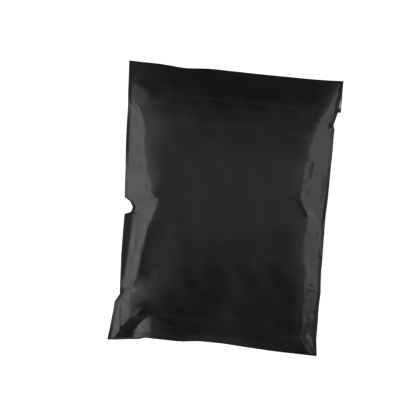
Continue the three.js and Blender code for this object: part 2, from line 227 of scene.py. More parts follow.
# Waves: how many, the range of their pitches and their height, in millimetres. The front face has
# gentle waves where it stands high enough, the film beside its welds ripples that head mostly
# across, and the back face dents, away from the flap.
Waves = namedtuple("Waves", "count pitches height")
FRONT_WAVES = Waves(14, (28, 75), 0.02)
FRONT_WAVES_FROM = 12
RIPPLES = Waves(12, (11, 26), 0.06)
RIPPLE_HEADING = 0.45
RIPPLE_FULL_PITCH = 20
RIPPLE_SHOULDER_COLUMNS = 6
RIPPLE_WELD_COLUMNS = 8
BACK_DENTS = Waves(10, (18, 60), 0.12)
BACK_DENT_ROWS = 6

# Fine crinkles near the side welds: how many on each side, the seed of their places, how far they
# spread towards the shoulder, the spread of their headings and bends, and their half length,
# height and width in millimetres.
CRINKLES = 80
CRINKLE_SEED = 11
CRINKLE_SPREAD = 0.8
CRINKLE_HEADING = 0.6
CRINKLE_BEND = 0.12
CRINKLE_SIZE = (2.5, 8)
CRINKLE_HEIGHT = (0.03, 0.13)
CRINKLE_WIDTH = (1, 2)

# Height above its surroundings at which the film shows its worn colour, and how many times the
# surroundings are evened out for that.
WEAR_HEIGHT = 0.12
WEAR_TIMES = 6

# Resolution of the film's mesh, in millimetres along the sides and in columns across them. The
# columns of the belly stand closer together towards the shoulders.
ROW_SPACING = 1.4
FLAP_ROWS = 24
BAND_COLUMNS = 40
BELLY_COLUMNS = 48
BELLY_CROWDING = 0.4
WELD_COLUMNS = 8
NOSE_ROWS = 5
EDGE_ROUNDING = 0.25

# Length over which the back face's columns close in on the front face's, up to the bottom edge.
CLOSING_LENGTH = 24

# Bump of the film: the shares of its stretch lines, its dents and the ribs of its welds.
STRETCH_BUMP = 0.22
DENT_BUMP = 0.5
RIB_BUMP = 0.16

# How much rougher than smooth film it is where it is cloudy, worn and welded.
CLOUD_ROUGHNESS = 0.16
WORN_ROUGHNESS = 0.12
WELD_ROUGHNESS = 0.06

# Roughness of the adhesive where it is clear, what clouds add to it, and how dark dust makes it.
ADHESIVE_ROUGHNESS = 0.28
ADHESIVE_CLOUD = 0.3
DUST_SHADE = 0.72

# Size of the floor. From here on lengths are in metres and turns in degrees.
FLOOR_SIZE = 10

# Soft lights overhead: name, size, place and share of the overhead power.
OVERHEAD_LIGHTS = [
    ("overhead_light", (1.6, 0.7), (0.16, 0.03, 2), 0.25),
    ("overhead_fill_light", (1.6, 2), (0.16, 0.6, 2.05), 0.85),
]
OVERHEAD_TURN = 18

# Soft lights on each side: name, width, distance from the middle, height, tilt and share of that
# side's power, which is given for lights of the full length.
SIDE_LIGHTS = [
    ("light", 0.3, 1.12, 0.44, 68, 0.4),
    ("low_light", 0.26, 1.15, 0.16, 82, 0.2),
    ("upper_light", 0.75, 0.85, 0.85, 45, 0.4),
]
FULL_LENGTH = 1.5
LEFT_LENGTH = 1.5
RIGHT_LENGTH = 1.3
RIGHT_MIDDLE = 0.3

# Small soft lights beyond the bottom corners: name, side and power.
CORNER_LIGHTS = [("left_corner_light", -1, 2.8), ("right_corner_light", 1, 0.9)]
CORNER_LIGHT_SIZE = 0.55

# Strength of the even light from all round.
WORLD_STRENGTH = 0.055

# The camera's lens and sensor in millimetres, and the point that it looks down on.
LENS = 85
SENSOR_WIDTH = 36
VIEW_POINT = (-0.0191, 0.0002, 0.018)


def length_property(name, description, default):
    return bpy.props.FloatProperty(
        name=name, description=description, unit="LENGTH", default=default)


def colour_property(name, description, default):
    return bpy.props.FloatVectorProperty(
        name=name, description=description, subtype="COLOR", size=3, min=0, max=1,
        default=default)


class FilmSizes(bpy.types.PropertyGroup):
    """Sizes of the filled film bag."""

    top_width: length_property(
        "Top width", "Width across the top fold", float(BAG_HIGH[0] - BAG_LOW[0]))
    bottom_width: length_property("Bottom width", "Width across the bottom corners", 0.248)
    left_length: length_property("Left length", "Distance between the two left corners", 0.329)
    right_length: length_property("Right length", "Distance between the two right corners", 0.3245)
    fill_height: length_property(
        "Fill height", "Height of the front face over the contents", 0.036)
    top_edge_height: length_property("Top edge height", "Height of the top fold", 0.010)
    bottom_edge_height: length_property("Bottom edge height", "Height of the bottom edge", 0.005)
    weld_width: length_property("Weld width", "Width of the welded film along each side", 0.004)
    doubled_film: length_property(
        "Doubled film", "Thickness of the film where two layers meet", 0.0004)
    flap_length: length_property("Flap length", "Length of the flap from the top fold", 0.037)
    flap_gap: length_property("Flap gap", "Space between the flap and the back face", 0.0009)
    underside_run: length_property(
        "Underside run", "How far the back face curves down from a weld", 0.022)
    crease_depth: bpy.props.FloatProperty(
        name="Crease depth", description="Depth of the creases against those of the real bag",
        subtype="FACTOR", min=0, max=3, default=1.5)


class FilmFinish(bpy.types.PropertyGroup):
    """Colour and gloss of the film and the adhesive."""

    film_colour: colour_property(
        "Film colour", "Colour of the film", (0.0068, 0.0068, 0.0074))
    worn_colour: colour_property(
        "Worn film colour", "Colour of creased and scuffed film", (0.022, 0.022, 0.023))
    film_roughness: bpy.props.FloatProperty(
        name="Film roughness", description="Roughness of smooth film", subtype="FACTOR",
        min=0, max=1, default=0.3)
    adhesive_colour: colour_property(
        "Adhesive colour", "Colour of the hot melt adhesive", (0.68, 0.65, 0.56))


class StageSettings(bpy.types.PropertyGroup):
    """Floor, lights and camera."""

    floor_colour: colour_property("Floor colour", "Colour of the floor", (0.93, 0.93, 0.93))
    floor_glow: bpy.props.FloatProperty(
        name="Floor glow", description="Light that the floor gives off, as a lit light table",
        min=0, max=2, default=0.85)
    overhead_power: bpy.props.FloatProperty(
        name="Overhead light", description="Power of the soft light overhead", unit="POWER",
        default=3.1)
    left_power: bpy.props.FloatProperty(
        name="Left light", description="Power of the soft light on the left", unit="POWER",
        default=9.6)
    right_power: bpy.props.FloatProperty(
        name="Right light", description="Power of the soft light on the right", unit="POWER",
        default=6.1)
    view_width: length_property("View width", "Width of the floor that the camera sees", 0.4846)
    view_turn: bpy.props.FloatProperty(
        name="View turn", description="Turn of the camera about the vertical", unit="ROTATION",
        default=math.radians(5.03))


def straight(table, station):
    """Value of a table of (station, value) pairs, with straight lines between its points."""
    stations, values = np.array(table, float).T
    return np.interp(station, stations, values)


def smooth(table, station):
    """Value of a table on a smooth curve through its points that never overshoots them."""
    s, v = np.array(table, float).T
    secant = np.diff(v) / np.diff(s)
    product = secant[:-1] * secant[1:]
    total = np.where(product > 0, secant[:-1] + secant[1:], 1)
    inner = np.where(product > 0, 2 * product / total, 0)
    slope = np.concatenate([secant[:1], inner, secant[-1:]])
    k = np.clip(np.searchsorted(s, station, side="right") - 1, 0, len(s) - 2)
    run = s[k + 1] - s[k]
    t = np.clip((station - s[k]) / run, 0, 1)
    ends = v[k] + (v[k + 1] - v[k]) * t * t * (3 - 2 * t)
    return ends + run * t * (1 - t) * (slope[k] * (1 - t) - slope[k + 1] * t)


def lerp(a, b, t):
    return a + (b - a) * t


class FilmShape:
    """The film's surface in millimetres, as a grid of points for each face."""

    def __init__(self, sizes):
        self.top_width = sizes.top_width / MM
        self.bottom_width = sizes.bottom_width / MM
        self.left_length = sizes.left_length / MM
        self.right_length = sizes.right_length / MM
        self.length = (self.left_length + self.right_length) / 2
        self.fill_height = sizes.fill_height / MM
        self.top_height = sizes.top_edge_height / MM
        self.bottom_height = sizes.bottom_edge_height / MM
        self.weld_width = sizes.weld_width / MM
        self.lift = sizes.doubled_film / MM / 2
        self.flap_length = sizes.flap_length / MM
        self.flap_gap = sizes.flap_gap / MM
        self.run = sizes.underside_run / MM
        self.set_columns()
        left = self.placed_folds(LEFT_FOLDS, LEFT_ENDS)
        right = self.placed_folds(RIGHT_FOLDS, RIGHT_ENDS)
        counts = self.row_counts(left, right)
        self.left = self.band_lines(left, counts)
        self.right = self.band_lines(right, counts)

    def set_columns(self):
        """Places of the columns in each region of a row, from one edge to the other."""
        rounding = EDGE_ROUNDING / self.weld_width
        inner = np.linspace(rounding, 1, WELD_COLUMNS)
        self.weld_share = np.concatenate([[0], inner])
        self.band_share = np.arange(1, BAND_COLUMNS) / BAND_COLUMNS
        even = np.linspace(-1, 1, BELLY_COLUMNS + 1)
        crowded = np.sin(even * math.pi / 2)
        self.across = (1 - BELLY_CROWDING) * even + BELLY_CROWDING * crowded
        self.edge_lift = np.concatenate([[0], np.ones(WELD_COLUMNS)])

    def corner_line(self, sign, station):
        """Place across the bag of the straight line between a side's two corners."""
        return sign * lerp(self.top_width, self.bottom_width, station) / 2

    def plan_y(self, x, station):
        """Place along the bag of points at a station, between the drawn-in end edges."""
        across = np.clip(x / self.top_width + 0.5, 0, 1)
        half = lerp(self.left_length, self.right_length, across) / 2
        top = half - straight(TOP_INSET, across)
        bottom = straight(BOTTOM_INSET, across) - half
        return lerp(top, bottom, station)

    def front_height(self, station):
        """Height of the front face down its middle."""
        end = lerp(self.top_height, self.bottom_height, station)
        return lerp(end, self.fill_height, smooth(FRONT_RISE, station))

    def back_height(self, station):
        """Height of the back face, which curves up to both end edges."""
        from_top = station * self.length / (self.flap_length + RISE_PAST_FLAP)
        from_bottom = (1 - station) * self.length / RISE_TO_BOTTOM
        top = self.top_height * np.maximum(0, 1 - from_top) ** UNDERSIDE_CURVE
        return top + self.bottom_height * np.maximum(0, 1 - from_bottom) ** UNDERSIDE_CURVE

    def placed_folds(self, folds, ends):
        """A side's folds with both end edges, each as nine numbers in the order of a Fold."""
        flap_share = self.flap_length / self.length

        def placed(fold):
            weld, shoulder = list(fold.weld), list(fold.shoulder)
            weld[0] = lerp(flap_share, 1, weld[0])
            shoulder[0] = lerp(flap_share, 1, shoulder[0])
            return [*weld, *shoulder, fold.ridge, fold.drop, fold.flat]

        top = [0, 0, self.top_height, 0, ends[0], self.top_height, 0, 0, 0]
        bottom = [1, 0, self.bottom_height, 1, ends[1], self.bottom_height, 0, 0, 0]
        return np.array([top, *(placed(fold) for fold in folds), bottom], float)

    def row_counts(self, left, right):
        """Rows between each two folds, so that no two rows are further apart than the spacing."""
        stations = np.stack([left[1:, 0], left[1:, 3], right[1:, 0], right[1:, 3]])
        distance = np.abs(np.diff(stations, axis=1)).max(axis=0) * self.length
        return np.maximum(3, np.ceil(distance / ROW_SPACING)).astype(int)

    def band_lines(self, lines, counts):
        """One line across a side's band for each row, from the top edge to the bottom edge."""
        top, first = lines[0], lines[1]
        flap_end = self.flap_length / self.length / first[0]
        rows = [lerp(top, first, t) for t in np.linspace(0, flap_end, FLAP_ROWS + 1)]
        rows += [lerp(rows[-1], first, t) for t in (0.5, 1)]
        for before, after, count in zip(lines[1:], lines[2:], counts):
            rows += [lerp(before, after, t) for t in np.linspace(0, 1, count + 1)[1:]]
        rounded = lerp(rows[-1], rows[-2], EDGE_ROUNDING / self.length / (rows[-1] - rows[-2])[0])
        return np.array([*rows[:-1], rounded, rows[-1]])

    def front(self):
        """Points of the front face, rows from the top edge down, columns from left to right."""
        bands = {}
        for sign, lines in ((-1, self.left), (1, self.right)):
            ws, wi, wh, ss, si, sh, ridge, drop, flat = lines.T[:, :, None]
            edge_x = self.corner_line(sign, ws) - sign * wi
            weld_x = edge_x - sign * (self.weld_width + flat)
            shoulder_x = self.corner_line(sign, ss) - sign * si
            strip_x = lerp(edge_x, weld_x, self.weld_share)
            strip_z = wh - drop * (1 - self.weld_share) + self.lift * self.edge_lift
            strip_s = ws + 0 * strip_x
            share = self.band_share
            band_x = lerp(weld_x, shoulder_x, share)
            band_z = lerp(wh, sh, share) + ridge * np.sin(math.pi * share) + self.lift
            band_s = lerp(ws, ss, share)
            x = np.hstack([strip_x, band_x])
            z = np.hstack([strip_z, band_z])
            s = np.hstack([strip_s, band_s])
            bands[sign] = (x, z, s, shoulder_x, sh, ss)
        share = (self.across + 1) / 2
        lx, lz, ls, l_edge, l_high, l_at = bands[-1]
        rx, rz, rs, r_edge, r_high, r_at = bands[1]
        belly_x = lerp(l_edge, r_edge, share)
        belly_s = lerp(l_at, r_at, share)
        side_z = np.where(self.across < 0, l_high, r_high)
        skew = straight(RIGHT_FALL, belly_s) * np.clip(self.across, 0, 1) ** 2
        crown = self.front_height(np.minimum(belly_s + skew, 1))
        belly_z = lerp(crown, side_z, np.abs(self.across) ** CROWN_SHARPNESS) + self.lift
        x = np.hstack([lx, belly_x, rx[:, ::-1]])
        z = np.hstack([lz, belly_z, rz[:, ::-1]])
        s = np.hstack([ls, belly_s, rs[:, ::-1]])
        z[-1] -= self.lift
        z[-1, [0, -1]] += self.lift
        return np.stack([x, self.plan_y(x, s), z], axis=-1)

    def back(self):
        """Points of the back face, in the same rows and columns."""
        bands = {}
        for sign, lines in ((-1, self.left), (1, self.right)):
            ws, wi, wh, ss, si = lines.T[:5, :, None]
            drop = lines.T[7, :, None]
            edge_x = self.corner_line(sign, ws) - sign * wi
            weld_x = edge_x - sign * self.weld_width
            shoulder_x = self.corner_line(sign, ss) - sign * si
            from_bottom = np.clip((1 - ws) * self.length / CLOSING_LENGTH, 0, 1)
            inner_x = lerp(shoulder_x, weld_x - sign * self.run, from_bottom)
            share = self.band_share
            strip_x = lerp(edge_x, weld_x, self.weld_share)
            strip_z = wh - drop * (1 - self.weld_share) - self.lift * self.edge_lift
            band_x = lerp(weld_x, inner_x, share)
            band_z = lerp(self.back_height(ws), wh - self.lift, (1 - share) ** UNDERSIDE_CURVE)
            bands[sign] = (np.hstack([strip_x, band_x]), np.hstack([strip_z, band_z]), inner_x, ws)
        share = (self.across + 1) / 2
        lx, lz, l_edge, l_at = bands[-1]
        rx, rz, r_edge, r_at = bands[1]
        belly_x = lerp(l_edge, r_edge, share)
        belly_s = lerp(l_at, r_at, share)
        x = np.hstack([lx, belly_x, rx[:, ::-1]])
        z = np.hstack([lz, self.back_height(belly_s), rz[:, ::-1]])
        band_s = [np.repeat(at, lx.shape[1], axis=1) for at in (l_at, r_at)]
        s = np.hstack([band_s[0], belly_s, band_s[1]])
        z[-1] = self.bottom_height
        return np.stack([x, self.plan_y(x, s), z], axis=-1)

    def flap(self, back):
        """Points of the flap's inside and outside, from the top fold to the free end.

        On the right it stands proud of the drawn-in weld.
        """
        rows = back[:FLAP_ROWS + 1].copy()
        n = WELD_COLUMNS
        sides = ((-1, self.left, slice(0, n + 1), n), (1, self.right, slice(-n - 1, None), -n - 1))
        for sign, lines, strip, inner in sides:
            station = lines[:FLAP_ROWS + 1, 0][:, None]
            share = self.weld_share if sign < 0 else self.weld_share[::-1]
            margin = lines[:FLAP_ROWS + 1, 1][:, None] if sign < 0 else 0
            outer = self.corner_line(sign, station) - sign * margin
            x = lerp(outer, rows[:, inner, 0][:, None], share)
            rows[:, strip, 0] = x
            rows[:, strip, 1] = self.plan_y(x, station)
            rows[:, strip, 2] = rows[:, [inner], 2]
        thickness = np.ones(rows.shape[1])
        thickness[[0, -1]] = 0
        middle = rows[:, :, 2] - self.flap_gap - self.lift
        middle[0] = back[0, :, 2] - self.lift
        inside, outside = rows.copy(), rows.copy()
        inside[:, :, 2] = middle + self.lift * thickness
        outside[:, :, 2] = middle - self.lift * thickness
        return inside, outside


def crease_lift(x, y, crease, tent=False):
    """How far a crease lifts points above the surface, with its ends run out to nothing."""
    path = np.array(crease.path, float)
    steps = np.diff(path, axis=0)
    lengths = np.hypot(*steps.T)
    starts = np.concatenate([[0], np.cumsum(lengths)])
    nearest = np.full(x.shape, np.inf)
    along = np.zeros(x.shape)
    side = np.ones(x.shape)
    for (ax, ay), (dx, dy), size, start in zip(path, steps, lengths, starts):
        t = np.clip(((x - ax) * dx + (y - ay) * dy) / size ** 2, 0, 1)
        away = np.hypot(x - ax - t * dx, y - ay - t * dy)
        closer = away < nearest
        nearest = np.where(closer, away, nearest)
        along = np.where(closer, (start + t * size) / starts[-1], along)
        side = np.where(closer, dx * (y - ay) - dy * (x - ax), side)
    reach = nearest / np.where(side > 0, crease.left, crease.right)
    if tent:
        taper = np.clip(along * starts[-1] / LOBE_RUN, 0, 1)
        return crease.height * np.clip(taper - reach, 0, 1)
    from_end = np.minimum(along, 1 - along) * starts[-1] / (crease.left + crease.right)
    taper = np.clip(from_end, 0, 1)
    taper = taper * taper * (3 - 2 * taper)
    ridge = np.exp(CREASE_ROUNDING - np.hypot(reach, CREASE_ROUNDING))
    return crease.height * taper * ridge


def add_creases(points, creases, depth, tent=False):
    """Lifts the points of the front face by each crease that reaches them."""
    x, y = points[..., 0], points[..., 1]
    for crease in creases:
        path = np.array(crease.path)
        margin = CREASE_REACH * max(crease.left, crease.right)
        low, high = path.min(axis=0) - margin, path.max(axis=0) + margin
        near = (x > low[0]) & (x < high[0]) & (y > low[1]) & (y < high[1])
        points[near, 2] += depth * crease_lift(x[near], y[near], crease, tent)


def crinkles(shape, random):
    """Short fine creases that run in from the side welds at seeded places."""
    made = []
    for sign, lines in ((-1, shape.left), (1, shape.right)):
        for _ in range(CRINKLES):
            line = lines[random.integers(FLAP_ROWS, len(lines))]
            reach = random.uniform(0, CRINKLE_SPREAD) ** 1.5
            station = lerp(line[0], line[3], reach)
            inset = lerp(line[1] + shape.weld_width / 2, line[4], reach)
            x = shape.corner_line(sign, station) - sign * inset
            y = float(shape.plan_y(x, station))
            angle = random.normal(0, CRINKLE_HEADING)
            size = random.uniform(*CRINKLE_SIZE)
            dx, dy = size * math.cos(angle), size * math.sin(angle)
            bend = random.normal(0, CRINKLE_BEND) * size
            middle = (x - bend * dy / size, y + bend * dx / size)
            path = [(x - dx, y - dy), middle, (x + dx, y + dy)]
            height = random.choice([-1, 1]) * random.uniform(*CRINKLE_HEIGHT)
            width = random.uniform(*CRINKLE_WIDTH)
            made.append(Crease(path, height, width, width))
    return made


def soften(values, weight, times):
    """Evens out a grid of heights with its neighbours, more where the weight is higher."""
    for _ in range(times):
        padded = np.pad(values, 1, mode="edge")
        around = padded[1:-1, :-2] + padded[1:-1, 2:] + padded[:-2, 1:-1] + padded[2:, 1:-1]
        values = values + weight * (around / 4 - values)
    return values


def round_shoulder(front, at, side, radius):
    """Rounds off the ridge in one column of the front face, by a radius given for each row."""
    outward = side * (np.arange(front.shape[1]) - at) > 0
    away = np.abs(front[..., 0] - front[:, [at], 0])
    width = away[:, [at + side * BAND_COLUMNS]]
    inner = at - side * SLOPE_COLUMNS
    band_slope = (front[:, [at], 2] - front[:, [at + side * BAND_COLUMNS], 2]) / width
    belly_slope = (front[:, [inner], 2] - front[:, [at], 2]) / away[:, [inner]]
    window = np.where(outward, 1 - (away / width) ** 2, 1 - away / ROUNDING_REACH)
    lowered = np.hypot(away, radius[:, None]) - away
    front[..., 2] -= (band_slope - belly_slope) / 2 * lowered * np.clip(window, 0, 1)


def wide_share(front, at, side):
    """How fully each row takes smoothing and ripples: not where its band is narrow."""
    width = np.abs(front[:, [at], 0] - front[:, [at + side * BAND_COLUMNS], 0])
    return np.clip(1.5 * width / FULL_BAND_WIDTH - 0.5, 0, 1)


def wave_sum(x, y, waves, random, spread=None):
    """Waves with seeded headings, pitches and phases. With a spread they head across the bag."""
    total = np.zeros(x.shape)
    for _ in range(waves.count):
        heading = random.uniform(0, math.pi) if spread is None else random.normal(0, spread)
        pitch = random.uniform(*waves.pitches)
        phase = random.uniform(0, 6.28)
        along = x * math.cos(heading) + y * math.sin(heading)
        share = 1 if spread is None else pitch / RIPPLE_FULL_PITCH
        total += share * np.cos(along * 2 * math.pi / pitch + phase)
    return total


def sculpt_front(shape, front, depth):
    """Rounds the shoulders, then adds gentle waves, creases and crinkles to the front face."""
    columns = np.arange(front.shape[1])
    left = WELD_COLUMNS + BAND_COLUMNS
    right = len(columns) - 1 - left
    weight = np.zeros(front.shape[:2])
    for at, side in ((left, -1), (right, 1)):
        near = np.clip(1 - np.abs(columns - at) / SOFT_COLUMNS, 0, 1)
        weight += SOFT_SHARE * near * wide_share(front, at, side)
    weight[[0, -2, -1]] = 0
    front[..., 2] = soften(front[..., 2], weight, SOFT_TIMES)
    round_shoulder(front, left, -1, straight(LEFT_ROUNDING, shape.left[:, 3]))
    round_shoulder(front, right, 1, straight(RIGHT_ROUNDING, shape.right[:, 3]))

    random = np.random.default_rng(CRINKLE_SEED)
    x, y = front[..., 0], front[..., 1]
    high = np.clip((front[..., 2] - FRONT_WAVES_FROM) / FRONT_WAVES_FROM, 0, 1)
    front[..., 2] += FRONT_WAVES.height * depth * wave_sum(x, y, FRONT_WAVES, random) * high
    for at, side in ((left, -1), (right, 1)):
        outward = side * (columns - at)
        share = np.clip(outward / RIPPLE_SHOULDER_COLUMNS, 0, 1)
        share = share * np.clip((BAND_COLUMNS - outward) / RIPPLE_WELD_COLUMNS, 0, 1)
        ripples = wave_sum(x, y, RIPPLES, random, RIPPLE_HEADING)
        front[..., 2] += RIPPLES.height * depth * ripples * share * wide_share(front, at, side)
    add_creases(front, [*LEFT_CREASES, *RIGHT_CREASES, *BELLY_CREASES], depth)
    add_creases(front, crinkles(shape, random), depth)


def sculpt_back(back, depth):
    """Shallow dents in the back face where it lies flat, pressed inwards only."""
    random = np.random.default_rng(CRINKLE_SEED + 1)
    waves = wave_sum(back[..., 0], back[..., 1], BACK_DENTS, random)
    low = np.clip(1 - back[..., 2] / 2, 0, 1)
    low[:FLAP_ROWS + BACK_DENT_ROWS] = 0
    back[..., 2] += BACK_DENTS.height * depth * np.clip(waves - 1, 0, 4) * low


def add_lobes(shape, front, back):
    """Raises the lobes of the front face, and with them the back face near the bottom edge."""
    from_bottom = 1 - shape.left[:, [0]]
    near_bottom = np.clip(1 - from_bottom / LOBE_BACK_SHARE, 0, 1)
    raised = back.copy()
    add_creases(raised, LOBES, 1, tent=True)
    back[..., 2] = np.maximum(0, lerp(back[..., 2], raised[..., 2], near_bottom))
    add_creases(front, LOBES, 1, tent=True)


def bag_points(sizes):
    """The film's whole run as one grid: front, top fold, flap and back, with its masks."""
    shape = FilmShape(sizes)
    front, back = shape.front(), shape.back()
    edges = front[:, [0, -1], 2].copy(), front[[0, -2, -1], :, 2].copy()
    sculpt_front(shape, front, sizes.crease_depth)
    front[..., 2] = np.maximum(front[..., 2], back[..., 2] + 2 * shape.lift)
    front[:, [0, -1], 2] = edges[0]
    front[[0, -2, -1], :, 2] = edges[1]
    inside, outside = shape.flap(back)
    sculpt_back(back, sizes.crease_depth)
    add_lobes(shape, front, back)
    inside[0] = back[0]
    body = np.ones(front.shape[1])
    body[[0, -1]] = 0
    outside[0] = back[0]
    outside[0, :, 2] -= 2 * shape.lift * body
    middle = (front[0] + outside[0]) / 2
    reach = (front[0, :, 2] - outside[0, :, 2]) / 2
    nose = []
    for angle in np.linspace(90, -90, NOSE_ROWS + 2)[1:-1]:
        row = middle.copy()
        row[:, 1] += 2 * reach * math.cos(math.radians(angle))
        row[:, 2] += reach * math.sin(math.radians(angle))
        nose.append(row)
    free_end = (inside[-1] + outside[-1]) / 2
    free_end[:, 1] -= shape.lift

    around = soften(front[..., 2], SOFT_SHARE, WEAR_TIMES)
    wear = np.clip((front[..., 2] - around) / WEAR_HEIGHT, 0, 1)
    strip = np.zeros(front.shape[1])
    strip[:WELD_COLUMNS] = 1
    strip[-WELD_COLUMNS:] = 1
    run = [*front[::-1], *nose, *outside, free_end, *inside[:0:-1], *back]
    before = len(front)
    after = len(run) - before
    wear = np.vstack([wear[::-1], np.zeros((after, front.shape[1]))])
    weld = np.tile(strip, (len(run), 1))
    weld[before:len(run) - len(back)] = 0
    return np.array(run), {"weld": weld, "wear": wear}


def deselect_all():
    for obj in bpy.context.selected_objects:
        obj.select_set(False)


def film_grid(name, points, masks):
    """A grid primitive laid on a grid of points, zipped together along its edges."""
    rows, columns = points.shape[:2]
    deselect_all()
    bpy.ops.mesh.primitive_grid_add(x_subdivisions=columns - 1, y_subdivisions=rows - 1, size=1)
    piece = bpy.context.object
    piece.name = name
    piece.data.name = name
    piece.data.vertices.foreach_set("co", (points * MM).ravel())
    for mask, values in masks.items():
        layer = piece.data.attributes.new(mask, "FLOAT", "POINT")
        layer.data.foreach_set("value", values.ravel())
    bpy.ops.object.mode_set(mode="EDIT")
    bpy.ops.mesh.select_all(action="SELECT")
    bpy.ops.mesh.remove_doubles(threshold=1e-7)
    bpy.ops.mesh.normals_make_consistent(inside=False)
    bpy.ops.object.mode_set(mode="OBJECT")
    bpy.ops.object.shade_smooth()
    return piece


def add_node(tree, kind, **values):
    """A node whose named inputs are set to values or linked from other nodes' outputs."""
    node = tree.nodes.new(kind)
    for name, value in values.items():
        socket = node.inputs.get(name.title())
        if socket is None:
            setattr(node, name, value)
        elif isinstance(value, bpy.types.NodeSocket):
            tree.links.new(value, socket)
        else:
            socket.default_value = value
    return node


def combine(tree, operation, first, second, clamp=False):
    """The output of a Math node on two values or sockets."""
    node = tree.nodes.new("ShaderNodeMath")
    node.operation = operation
    node.use_clamp = clamp
    for socket, value in zip(node.inputs, (first, second)):
        if isinstance(value, bpy.types.NodeSocket):
            tree.links.new(value, socket)
        else:
            socket.default_value = value
    return node.outputs[0]


def mixed_colour(tree, amount, first, second):
    """A colour that runs from the first to the second as the amount runs from 0 to 1."""
    node = tree.nodes.new("ShaderNodeMix")
    node.data_type = "RGBA"
    tree.links.new(amount, node.inputs["Factor"])
    for name, value in (("A", first), ("B", second)):
        socket = next(s for s in node.inputs if s.name == name and s.type == "RGBA")
        socket.default_value = (*value, 1)
    return next(s for s in node.outputs if s.type == "RGBA")


def grain_group():
    """Fine surface grain and sparse specks of dust, for any finish."""
    if "surface_grain" in bpy.data.node_groups:
        return bpy.data.node_groups["surface_grain"]
    tree = bpy.data.node_groups.new("surface_grain", "ShaderNodeTree")
    for name, default in (("Grain Scale", 1500.0), ("Grain Height", 1.0), ("Speck Scale", 500.0)):
        socket = tree.interface.new_socket(name, in_out="INPUT", socket_type="NodeSocketFloat")
        socket.default_value = default
    for name in ("Height", "Specks", "Cloud"):
        tree.interface.new_socket(name, in_out="OUTPUT", socket_type="NodeSocketFloat")
    given = tree.nodes.new("NodeGroupInput")
    result = tree.nodes.new("NodeGroupOutput")
    place = tree.nodes.new("ShaderNodeTexCoord").outputs["Object"]
    fine = add_node(tree, "ShaderNodeTexNoise", vector=place, scale=given.outputs["Grain Scale"],
                    detail=2.0)
    height = combine(tree, "MULTIPLY", fine.outputs[0], given.outputs["Grain Height"])
    tree.links.new(height, result.inputs["Height"])
    cells = add_node(tree, "ShaderNodeTexVoronoi", vector=place,
                     scale=given.outputs["Speck Scale"])
    few = add_node(tree, "ShaderNodeTexNoise", vector=place, scale=90.0, detail=3.0)
    sparse = combine(tree, "SUBTRACT", few.outputs[0], 0.5, True)
    size = combine(tree, "MULTIPLY", sparse, 0.8)
    specks = combine(tree, "LESS_THAN", cells.outputs[0], size)
    tree.links.new(specks, result.inputs["Specks"])
    cloud = add_node(tree, "ShaderNodeTexNoise", vector=place, scale=28.0, detail=4.0)
    tree.links.new(cloud.outputs[0], result.inputs["Cloud"])
    return tree


def grain(tree, scale, height, specks):
    node = tree.nodes.new("ShaderNodeGroup")
    node.node_tree = grain_group()
    node.inputs["Grain Scale"].default_value = scale
    node.inputs["Grain Height"].default_value = height
    node.inputs["Speck Scale"].default_value = specks
    return node


def mask(tree, name):
    return add_node(tree, "ShaderNodeAttribute", attribute_name=name).outputs["Fac"]


def film_material(finish):
    """Black polyethylene film: stretch lines, fine grain, ribbed welds and pale worn creases."""
    material = bpy.data.materials.new("black_film")
    material.use_nodes = True
    tree = material.node_tree
    shader = tree.nodes["Principled BSDF"]
    surface = grain(tree, scale=1900.0, height=0.1, specks=620.0)
    place = tree.nodes.new("ShaderNodeTexCoord").outputs["Object"]

    long_lines = add_node(tree, "ShaderNodeMapping", vector=place)
    long_lines.inputs["Scale"].default_value = (1, 0.12, 1)
    stretch = add_node(tree, "ShaderNodeTexNoise", vector=long_lines.outputs[0], scale=210.0,
                       detail=3.0, distortion=0.4)
    dents = add_node(tree, "ShaderNodeTexNoise", vector=place, scale=95.0, detail=3.0,
                     distortion=0.6)
    ribs = add_node(tree, "ShaderNodeTexWave", vector=place, bands_direction="Y", scale=260.0,
                    distortion=0.6)
    weld, wear = mask(tree, "weld"), mask(tree, "wear")
    stretched = combine(tree, "MULTIPLY", stretch.outputs[0], STRETCH_BUMP)
    height = combine(tree, "ADD", surface.outputs["Height"], stretched)
    dented = combine(tree, "MULTIPLY", dents.outputs[0], DENT_BUMP)
    height = combine(tree, "ADD", height, dented)
    ribbed = combine(tree, "MULTIPLY", ribs.outputs["Fac"], weld)
    ribbed = combine(tree, "MULTIPLY", ribbed, RIB_BUMP)
    height = combine(tree, "ADD", height, ribbed)
    bump = add_node(tree, "ShaderNodeBump", height=height, distance=0.0006)
    bump.inputs["Strength"].default_value = 0.55
    tree.links.new(bump.outputs[0], shader.inputs["Normal"])

    cloud = surface.outputs["Cloud"]
    worn = combine(tree, "MULTIPLY", wear, cloud, True)
    dust = combine(tree, "MULTIPLY", surface.outputs["Specks"], 0.7)
    worn = combine(tree, "ADD", worn, dust, True)
    colour = mixed_colour(tree, worn, finish.film_colour, finish.worn_colour)
    tree.links.new(colour, shader.inputs["Base Color"])

    smooth_film = finish.film_roughness - CLOUD_ROUGHNESS / 2
    rough = combine(tree, "ADD", combine(tree, "MULTIPLY", cloud, CLOUD_ROUGHNESS), smooth_film)
    rough = combine(tree, "ADD", rough, combine(tree, "MULTIPLY", worn, WORN_ROUGHNESS))
    rough = combine(tree, "ADD", rough, combine(tree, "MULTIPLY", weld, WELD_ROUGHNESS), True)
    tree.links.new(rough, shader.inputs["Roughness"])
    shader.inputs["IOR"].default_value = 1.5
    return material


